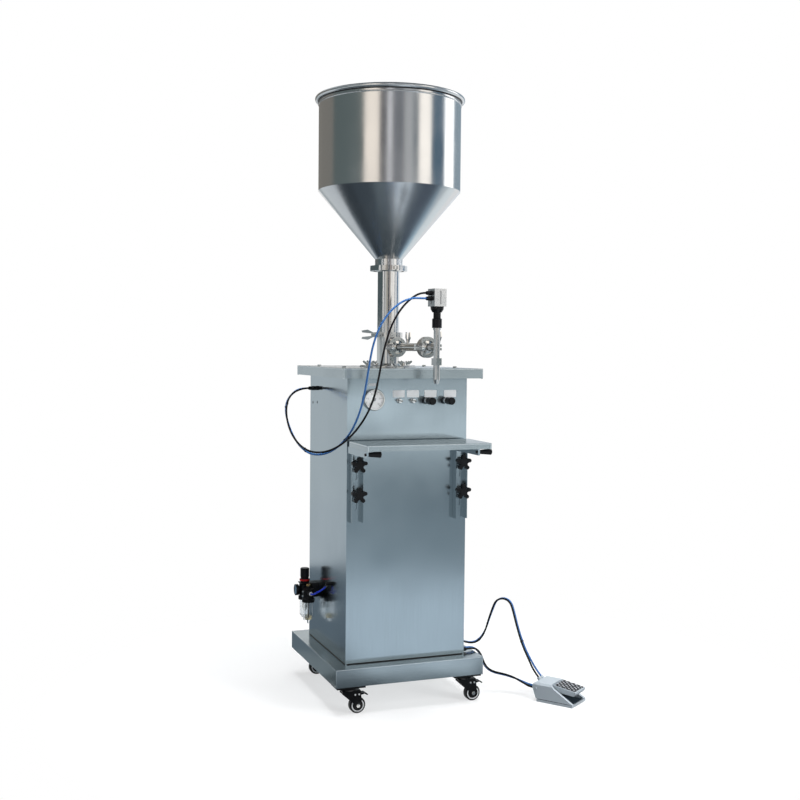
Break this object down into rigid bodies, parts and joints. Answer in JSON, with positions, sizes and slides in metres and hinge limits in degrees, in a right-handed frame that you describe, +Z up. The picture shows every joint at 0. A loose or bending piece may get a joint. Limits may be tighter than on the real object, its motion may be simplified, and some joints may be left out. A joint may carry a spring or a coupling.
{
  "type": "piston paste filling machine",
  "caption": "Upright piston paste filling machine on casters: conical hopper, clamped feed tube, cut-off nozzle, work tray, air unit and foot valve.",
  "frame": {"origin": "middle of the footprint of machine and foot valve, on the floor", "axes": "+Z up, the machine's front with tray and gauge faces -Y, the foot valve stands towards +X"},
  "size_m": [0.8964, 0.647, 1.8885],
  "materials": {
    "brushed_steel": "fine vertical grain",
    "polished_steel": "polished, a little soft",
    "aluminium": "satin anodised",
    "cast_grey": "smooth grey paint",
    "black_metal": "black",
    "black_plastic": "matte black",
    "clear_plastic": "clear",
    "hose_black": "glossy",
    "hose_blue": "glossy"
  },
  "bodies": {
    "machine": {"base_box": "brushed_steel", "cabinet_shell": "brushed_steel", "table_top": "brushed_steel", "table_fasteners": "polished_steel", "metering_barrel": "polished_steel", "drive_cylinder": "aluminium", "valve_body": "polished_steel", "feed_tube": "polished_steel", "hopper": "polished_steel", "pipe_clamps": "polished_steel", "outlet_pipe": "polished_steel", "nozzle_body": "polished_steel", "nozzle_tip": "polished_steel", "gland_adapter": "polished_steel", "nozzle_cylinder": "aluminium", "push_in_fittings": "black_plastic", "gauge_case": "polished_steel", "panel_bushes": "polished_steel", "air_unit_body": "cast_grey", "regulator_gauge": "black_plastic", "clear_bowls": "clear_plastic", "air_unit_bracket": "brushed_steel", "foot_valve_body": "cast_grey", "caster_plates": "black_metal", "loop_hose_black": "hose_black", "loop_hose_blue": "hose_blue", "arch_hose_black": "hose_black", "arch_hose_blue": "hose_blue", "floor_hose_black": "hose_black", "floor_hose_blue": "hose_blue", "lubricator_tube": "hose_blue"},
    "rear_door": {"rear_door": "brushed_steel"},
    "door_latch": {"door_latch": "polished_steel"},
    "tray_brackets": {"tray_brackets": "brushed_steel"},
    "tray": {"tray": "brushed_steel"},
    "star_knob_left_high": {"star_knob_left_high": "black_plastic"},
    "star_knob_left_low": {"star_knob_left_low": "black_plastic"},
    "star_knob_right_high": {"star_knob_right_high": "black_plastic"},
    "star_knob_right_low": {"star_knob_right_low": "black_plastic"},
    "arm_knob_left": {"arm_knob_left": "black_plastic"},
    "arm_knob_right": {"arm_knob_right": "black_plastic"},
    "speed_knob_left": {"speed_knob_left": "black_plastic"},
    "speed_knob_right": {"speed_knob_right": "black_plastic"},
    "toggle_left": {"toggle_left": "polished_steel"},
    "toggle_right": {"toggle_right": "polished_steel"},
    "gauge_needle": {"gauge_needle": "black_plastic"},
    "regulator_knob": {"regulator_knob": "black_plastic"},
    "piston_and_rod": {"piston_and_rod": "polished_steel"},
    "cutoff_plunger": {"cutoff_plunger": "polished_steel"},
    "pedal": {"pedal": "cast_grey"},
    "fork_front_left": {"fork_front_left": "black_metal"},
    "fork_front_right": {"fork_front_right": "black_metal"},
    "fork_rear_left": {"fork_rear_left": "black_metal"},
    "fork_rear_right": {"fork_rear_right": "black_metal"},
    "wheel_front_left": {"wheel_front_left": "black_plastic"},
    "wheel_front_right": {"wheel_front_right": "black_plastic"},
    "wheel_rear_left": {"wheel_rear_left": "black_plastic"},
    "wheel_rear_right": {"wheel_rear_right": "black_plastic"},
    "brake_lever_front_left": {"brake_lever_front_left": "black_metal"},
    "brake_lever_front_right": {"brake_lever_front_right": "black_metal"}
  },
  "joints": [
    {"name": "swivel_front_left", "type": "hinge", "parent": "machine", "child": "fork_front_left", "pos_m": [-0.33539, -0.14247, 0.06], "axis": [0, 0, 1], "continuous": true},
    {"name": "roll_front_left", "type": "hinge", "parent": "fork_front_left", "child": "wheel_front_left", "pos_m": [-0.30839, -0.14247, 0.025], "axis": [0, 1, 0], "continuous": true},
    {"name": "swivel_front_right", "type": "hinge", "parent": "machine", "child": "fork_front_right", "pos_m": [0.04461, -0.14247, 0.06], "axis": [0, 0, 1], "continuous": true},
    {"name": "roll_front_right", "type": "hinge", "parent": "fork_front_right", "child": "wheel_front_right", "pos_m": [0.07161, -0.14247, 0.025], "axis": [0, 1, 0], "continuous": true},
    {"name": "swivel_rear_left", "type": "hinge", "parent": "machine", "child": "fork_rear_left", "pos_m": [-0.33539, 0.28853, 0.06], "axis": [0, 0, 1], "continuous": true},
    {"name": "roll_rear_left", "type": "hinge", "parent": "fork_rear_left", "child": "wheel_rear_left", "pos_m": [-0.30839, 0.28853, 0.025], "axis": [0, 1, 0], "continuous": true},
    {"name": "swivel_rear_right", "type": "hinge", "parent": "machine", "child": "fork_rear_right", "pos_m": [0.04461, 0.28853, 0.06], "axis": [0, 0, 1], "continuous": true},
    {"name": "roll_rear_right", "type": "hinge", "parent": "fork_rear_right", "child": "wheel_rear_right", "pos_m": [0.07161, 0.28853, 0.025], "axis": [0, 1, 0], "continuous": true},
    {"name": "brake_front_left", "type": "hinge", "parent": "fork_front_left", "child": "brake_lever_front_left", "pos_m": [-0.30539, -0.14247, 0.0585], "axis": [0, 1, 0], "range_deg": [0, 12]},
    {"name": "brake_front_right", "type": "hinge", "parent": "fork_front_right", "child": "brake_lever_front_right", "pos_m": [0.07461, -0.14247, 0.0585], "axis": [0, 1, 0], "range_deg": [0, 12]},
    {"name": "tray_lift", "type": "slide", "parent": "machine", "child": "tray_brackets", "axis": [0, 0, 1], "range_m": [-0.008, 0.04]},
    {"name": "tray_reach", "type": "slide", "parent": "tray_brackets", "child": "tray", "axis": [0, -1, 0], "range_m": [0, 0.03]},
    {"name": "star_turn_left_high", "type": "hinge", "parent": "machine", "child": "star_knob_left_high", "pos_m": [-0.31339, -0.14747, 0.752], "axis": [0, -1, 0], "continuous": true},
    {"name": "star_turn_left_low", "type": "hinge", "parent": "machine", "child": "star_knob_left_low", "pos_m": [-0.31339, -0.14747, 0.662], "axis": [0, -1, 0], "continuous": true},
    {"name": "star_turn_right_high", "type": "hinge", "parent": "machine", "child": "star_knob_right_high", "pos_m": [0.02461, -0.14747, 0.752], "axis": [0, -1, 0], "continuous": true},
    {"name": "star_turn_right_low", "type": "hinge", "parent": "machine", "child": "star_knob_right_low", "pos_m": [0.02461, -0.14747, 0.662], "axis": [0, -1, 0], "continuous": true},
    {"name": "arm_knob_turn_left", "type": "hinge", "parent": "tray_brackets", "child": "arm_knob_left", "pos_m": [-0.33239, -0.29447, 0.7961], "axis": [1, 0, 0], "continuous": true},
    {"name": "arm_knob_turn_right", "type": "hinge", "parent": "tray_brackets", "child": "arm_knob_right", "pos_m": [0.01661, -0.29447, 0.7961], "axis": [1, 0, 0], "continuous": true},
    {"name": "flow_left", "type": "hinge", "parent": "machine", "child": "speed_knob_left", "pos_m": [-0.08339, -0.14747, 0.942], "axis": [0, -1, 0], "range_deg": [-720, 720]},
    {"name": "switch_left", "type": "hinge", "parent": "machine", "child": "toggle_left", "pos_m": [-0.17539, -0.14367, 0.942], "axis": [1, 0, 0], "range_deg": [-12, 12]},
    {"name": "flow_right", "type": "hinge", "parent": "machine", "child": "speed_knob_right", "pos_m": [-0.02039, -0.14747, 0.942], "axis": [0, -1, 0], "range_deg": [-720, 720]},
    {"name": "switch_right", "type": "hinge", "parent": "machine", "child": "toggle_right", "pos_m": [-0.13139, -0.14367, 0.942], "axis": [1, 0, 0], "range_deg": [-12, 12]},
    {"name": "gauge_reading", "type": "hinge", "parent": "machine", "child": "gauge_needle", "pos_m": [-0.25739, -0.12747, 0.946], "axis": [0, 1, 0], "range_deg": [0, 270]},
    {"name": "pressure_set", "type": "hinge", "parent": "machine", "child": "regulator_knob", "pos_m": [-0.37639, 0.19853, 0.349], "axis": [0, 0, 1], "range_deg": [-540, 540]},
    {"name": "door_swing", "type": "hinge", "parent": "machine", "child": "rear_door", "pos_m": [0.05511, 0.26953, 0.6], "axis": [0, 0, -1], "range_deg": [0, 110]},
    {"name": "latch_turn", "type": "hinge", "parent": "rear_door", "child": "door_latch", "pos_m": [-0.29639, 0.26753, 0.5915], "axis": [0, 1, 0], "range_deg": [0, 90]},
    {"name": "piston_stroke", "type": "slide", "parent": "machine", "child": "piston_and_rod", "axis": [0, 0, 1], "range_m": [0, 0.15]},
    {"name": "nozzle_close", "type": "slide", "parent": "machine", "child": "cutoff_plunger", "axis": [0, 0, -1], "range_m": [0, 0.02]},
    {"name": "pedal_press", "type": "hinge", "parent": "machine", "child": "pedal", "pos_m": [0.31491, -0.22023, 0.042], "axis": [0.8121, 0.5835, 0], "range_deg": [0, 8], "stiffness_Nm_per_rad": 4, "springref_deg": -11.46}
  ]
}
